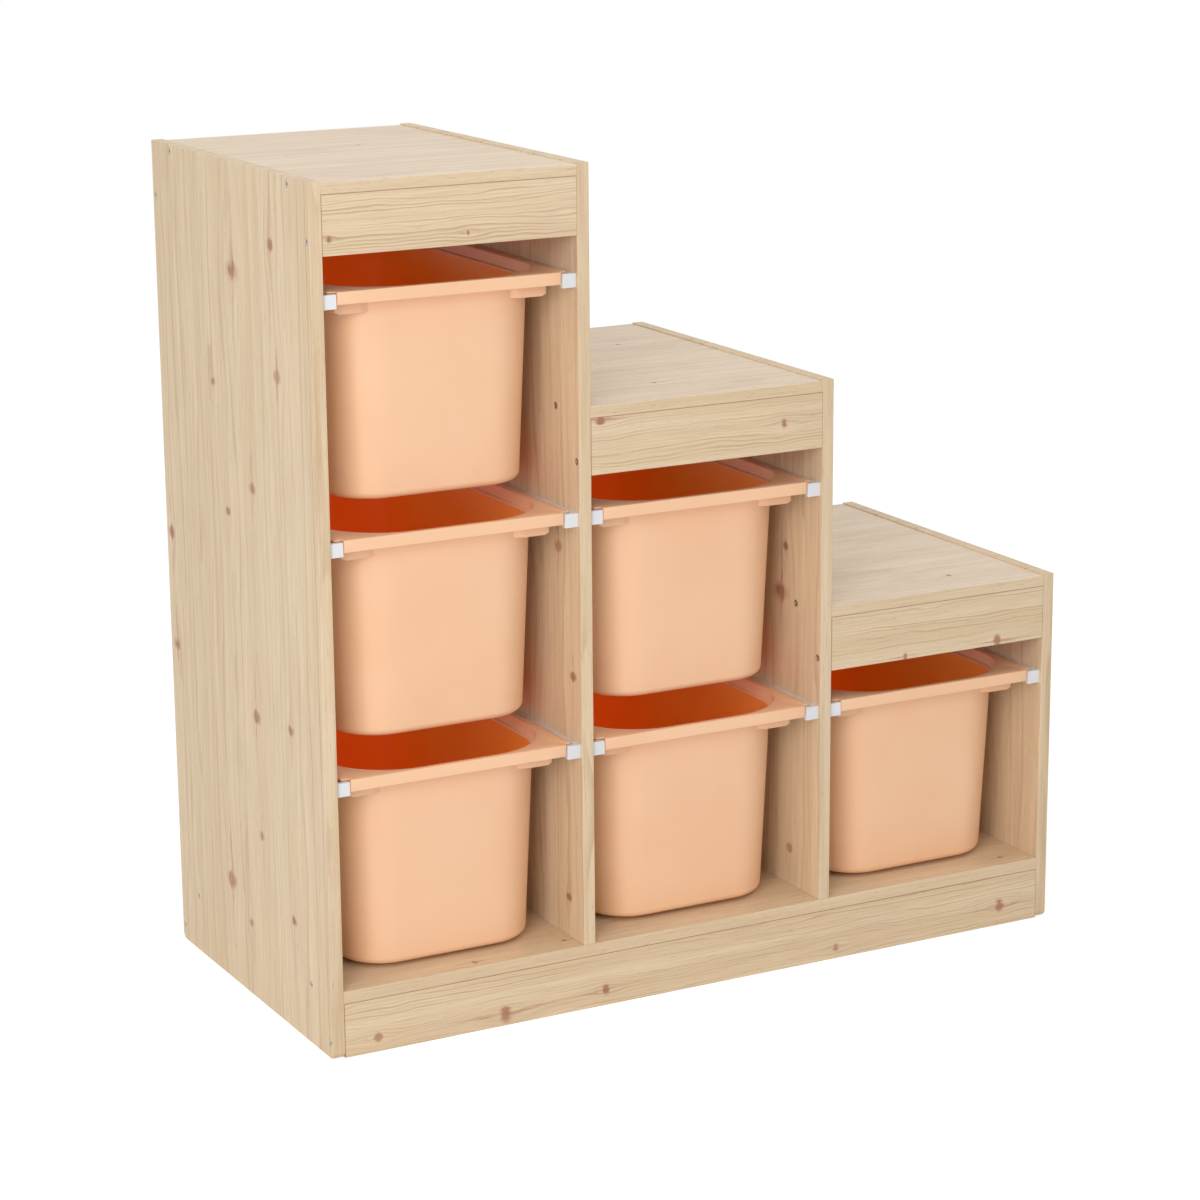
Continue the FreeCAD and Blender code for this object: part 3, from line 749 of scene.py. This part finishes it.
def placesMesh(name, places, marks):
    # one point for each copy, with the named vectors that steer it
    mesh = bpy.data.meshes.new(name)
    mesh.from_pydata(places, [], [])
    for mark, values in marks.items():
        field = mesh.attributes.new(mark, "FLOAT_VECTOR", "POINT")
        for number, value in enumerate(values):
            field.data[number].vector = value
    return meshPiece(name, mesh)


def growPiece(piece, tree, sizes, material):
    # runs the tree on the piece and keeps the result as a plain mesh
    modifier = piece.modifiers.new(tree.name, "NODES")
    modifier.node_group = tree
    for item in tree.interface.items_tree:
        if item.in_out == "INPUT" and item.name in sizes:
            modifier[item.identifier] = float(sizes[item.name])
        elif item.in_out == "INPUT" and item.name == "Material":
            modifier[item.identifier] = material
    piece.data.update()
    ready = piece.evaluated_get(bpy.context.evaluated_depsgraph_get())
    mesh = bpy.data.meshes.new_from_object(ready)
    mesh.name = piece.name
    piece.modifiers.clear()
    piece.data = mesh


runnerEdge = 0.0004                         # metres, the rounding of the edges

runnerSizes = {                             # metres
    "Wall": 0.0050,
    "Ledge": 0.0205,
    "Ledge Thick": 0.0031,
    "Ledge Setback": 0.0245,
    "Block": 0.0155,
    "Block Deep": 0.0055,
    "Peg": 0.0070,
    "Peg Reach": 0.0055,
    "Peg Inset": 0.0450,
}


def runnerTree(sizes):
    tree, given = newTree("runnerRail", sizes)
    long, tall = given["Length"], given["Height"]

    def bar(wide, deep, high, setback=0.0):
        # a box that grows from the runner's lower front corner
        size = join(tree, wide, deep, high)
        cube = addNode(tree, "GeometryNodeMeshCube", {"Size": size}).outputs["Mesh"]
        front = join(tree, 0.0, setback, 0.0)
        shift = vector1(tree, "ADD", vector1(tree, "MULTIPLY", size, (0.5, 0.5, 0.5)), front)
        return addNode(tree, "GeometryNodeTransform", {"Geometry": cube, "Translation": shift}).outputs[0]

    def peg(along):
        rod = addNode(tree, "GeometryNodeMeshCylinder",
                      {"Vertices": 24, "Radius": math1(tree, "MULTIPLY", given["Peg"], 0.5),
                       "Depth": math1(tree, "MULTIPLY", given["Peg Reach"], 2.0)}).outputs["Mesh"]
        spot = join(tree, 0.0, along, math1(tree, "MULTIPLY", tall, 0.5))
        return addNode(tree, "GeometryNodeTransform", {"Geometry": rod, "Translation": spot,
                                                       "Rotation": (0, math.pi / 2, 0)}).outputs[0]

    ledgeLong = math1(tree, "SUBTRACT", long, given["Ledge Setback"])
    parts = [bar(given["Wall"], long, tall),
             bar(given["Ledge"], ledgeLong, given["Ledge Thick"], given["Ledge Setback"]),
             bar(given["Block"], given["Block Deep"], tall),
             peg(given["Peg Inset"]), peg(math1(tree, "MULTIPLY", long, 0.5)),
             peg(math1(tree, "SUBTRACT", long, given["Peg Inset"]))]
    union = addNode(tree, "GeometryNodeMeshBoolean", operation="UNION", solver="EXACT")
    for part in parts:
        tree.links.new(part, union.inputs["Mesh 2"])
    rail = union.outputs["Mesh"]
    mirrored = addNode(tree, "GeometryNodeTransform", {"Geometry": rail, "Scale": (-1, 1, 1)}).outputs[0]
    mirrored = addNode(tree, "GeometryNodeFlipFaces", {"Mesh": mirrored}).outputs[0]

    # the mark "side" is +X for a runner that reaches right and -X for one that reaches left
    side = addNode(tree, "GeometryNodeInputNamedAttribute", {"Name": "side"}, data_type="FLOAT_VECTOR")
    reach = split(tree, side.outputs[0])[0]
    both = addNode(tree, "GeometryNodeJoinGeometry")
    for shape, sign in ((rail, 1.0), (mirrored, -1.0)):
        chosen = addNode(tree, "FunctionNodeCompare", {0: math1(tree, "MULTIPLY", reach, sign), 1: 0.0},
                         data_type="FLOAT", operation="GREATER_THAN").outputs[0]
        placed = addNode(tree, "GeometryNodeInstanceOnPoints",
                         {"Points": given["Geometry"], "Selection": chosen, "Instance": shape}).outputs[0]
        tree.links.new(placed, both.inputs[0])
    closeTree(tree, both.outputs[0], given["Material"])
    return tree


def makeRunners(material):
    uprights = {"tall": ("left_panel", "tall_divider"), "middle": ("tall_divider", "middle_divider"),
                "low": ("middle_divider", "right_panel")}
    places, sides, nodes = [], [], []
    for bay, tower in enumerate(towerNames):
        for level in range(3 - bay):
            for sideName, sign in (("left", 1), ("right", -1)):
                node = f"{tower}_{sideName}_runner_{level + 1}"
                low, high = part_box(node)
                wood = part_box(uprights[tower][0 if sign > 0 else 1])
                places.append((wood[1].x if sign > 0 else wood[0].x, low.y, low.z))
                sides.append((sign, 0, 0))
                nodes.append(node)
    sizes = {"Length": high.y - low.y, "Height": high.z - low.z, **runnerSizes}
    tree = runnerTree(sizes)
    piece = placesMesh("runners", places, {"side": sides})
    growPiece(piece, tree, sizes, material)
    bevel = piece.modifiers.new("edges", "BEVEL")
    bevel.width = runnerEdge
    bevel.segments = 2
    bevel.limit_method = "ANGLE"
    bevel.angle_limit = math.radians(40)
    bevel.harden_normals = True
    shadeSmooth(piece.data)
    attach(piece, "frame")
    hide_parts(*nodes)
    print("runners:", len(nodes))


screwSizes = {                              # metres
    "Head": 0.0040,
    "Head Tall": 0.0030,
    "Shank": 0.0025,
    "Socket": 0.0016,
    "Socket Deep": 0.0022,
    "Edge": 0.0004,
}
tipShare = 0.6                              # the tip's radius, of the shank's
socketRim = 1.35                            # the socket's rim, of the socket's own radius


def screwTree(sizes):
    tree, given = newTree("socketScrew", sizes)
    around, rows = 24, 11
    grid = addNode(tree, "GeometryNodeMeshGrid", {"Size X": 1.0, "Size Y": 1.0, "Vertices X": around + 1,
                                                  "Vertices Y": rows}).outputs["Mesh"]
    acrossGrid, alongGrid, _ = split(tree, addNode(tree, "GeometryNodeInputPosition").outputs[0])
    angle = math1(tree, "MULTIPLY", math1(tree, "ADD", acrossGrid, 0.5), math.tau)
    row = math1(tree, "ROUND", math1(tree, "MULTIPLY", math1(tree, "ADD", alongGrid, 0.5), rows - 1.0))

    length, shank, head, socket, edge = (given[size] for size in
                                         ("Length", "Shank", "Head", "Socket", "Edge"))
    # (radius, depth below the face) from the tip over the head into the socket
    profile = [(0.0, length), (math1(tree, "MULTIPLY", shank, tipShare), length),
               (shank, math1(tree, "SUBTRACT", length, edge)), (shank, given["Head Tall"]),
               (head, given["Head Tall"]), (head, edge), (math1(tree, "SUBTRACT", head, edge), 0.0),
               (math1(tree, "MULTIPLY", socket, socketRim), 0.0), (socket, edge),
               (socket, given["Socket Deep"]), (0.0, math1(tree, "ADD", given["Socket Deep"], edge))]

    def pick(column):
        switch = addNode(tree, "GeometryNodeIndexSwitch", data_type="FLOAT")
        while len(switch.index_switch_items) < rows:
            switch.index_switch_items.new()
        tree.links.new(row, switch.inputs["Index"])
        for number, values in enumerate(profile):
            feed(tree, switch.inputs[number + 1], values[column])
        return switch.outputs[0]

    # rows 8 and 9 are a hexagon: the distance to its flat side grows towards each corner
    sixth = math.pi / 3
    local = math1(tree, "SUBTRACT", math1(tree, "MODULO", angle, sixth), sixth / 2)
    hexagon = math1(tree, "DIVIDE", 1.0, math1(tree, "COSINE", local))
    flats = math1(tree, "COMPARE", row, 8.5, 0.6)
    stretch = math1(tree, "ADD", 1.0, math1(tree, "MULTIPLY", flats, math1(tree, "SUBTRACT", hexagon, 1.0)))
    radius = math1(tree, "MULTIPLY", pick(0), stretch)
    place = join(tree, math1(tree, "MULTIPLY", radius, math1(tree, "COSINE", angle)),
                 math1(tree, "MULTIPLY", radius, math1(tree, "SINE", angle)), pick(1))
    shaped = addNode(tree, "GeometryNodeSetPosition", {"Geometry": grid, "Position": place}).outputs[0]
    shaped = addNode(tree, "GeometryNodeMergeByDistance", {"Geometry": shaped, "Distance": 1e-6}).outputs[0]
    way = addNode(tree, "GeometryNodeInputNamedAttribute", {"Name": "way"}, data_type="FLOAT_VECTOR")
    turn = addNode(tree, "FunctionNodeAlignRotationToVector", {"Vector": way.outputs[0]}, axis="Z")
    copies = {"Points": given["Geometry"], "Instance": shaped, "Rotation": turn.outputs[0]}
    placed = addNode(tree, "GeometryNodeInstanceOnPoints", copies).outputs[0]
    closeTree(tree, placed, given["Material"])
    return tree


def separateSolids(node):
    # the vertices of each separate solid in a CAD node
    copy = bmesh.new()
    copy.from_mesh(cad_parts[node].data)
    bmesh.ops.remove_doubles(copy, verts=copy.verts, dist=1e-6)
    seen, solids = set(), []
    for start in copy.verts:
        if start in seen:
            continue
        seen.add(start)
        solid = [start]
        for reached in solid:               # the list grows as more of the solid is reached
            for edge in reached.link_edges:
                other = edge.other_vert(reached)
                if other not in seen:
                    seen.add(other)
                    solid.append(other)
        solids.append([vertex.co.copy() for vertex in solid])
    copy.free()
    return solids


def makeScrews(material):
    nodes = [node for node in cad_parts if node.endswith("_screws")]
    places, ways, length = [], [], 0.0
    for node in nodes:
        for points in separateSolids(node):
            low = Vector(min(point[axis] for point in points) for axis in range(3))
            high = Vector(max(point[axis] for point in points) for axis in range(3))
            size = high - low
            axis = max(range(3), key=lambda number: size[number])
            middle = (low + high) / 2
            other = (axis + 1) % 3
            lowEnd = [abs(point[other] - middle[other]) for point in points if point[axis] < low[axis] + mm]
            sign = 1 if max(lowEnd) > screwSizes["Shank"] * 1.2 else -1     # the head is the wide end
            face = middle.copy()
            face[axis] = low[axis] if sign > 0 else high[axis]
            way = Vector((0, 0, 0))
            way[axis] = sign
            places.append(face)
            ways.append(way)
            length = size[axis]
    sizes = {"Length": length, **screwSizes}
    piece = placesMesh("screws", places, {"way": ways})
    growPiece(piece, screwTree(sizes), sizes, material)
    shadeSmooth(piece.data, 35)
    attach(piece, "frame")
    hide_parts(*nodes)
    print("screws:", len(places))


makeCamera()
makeStudio()
finishBoards()
makeBins(mouldedPlastic("binPlastic"), mouldedPlastic("binPlasticInsidePaintedLight", insideLight))
makeRunners(mouldedPlastic("runnerPlastic"))
makeScrews(zincSteel())

scene.view_settings.view_transform = "Standard"
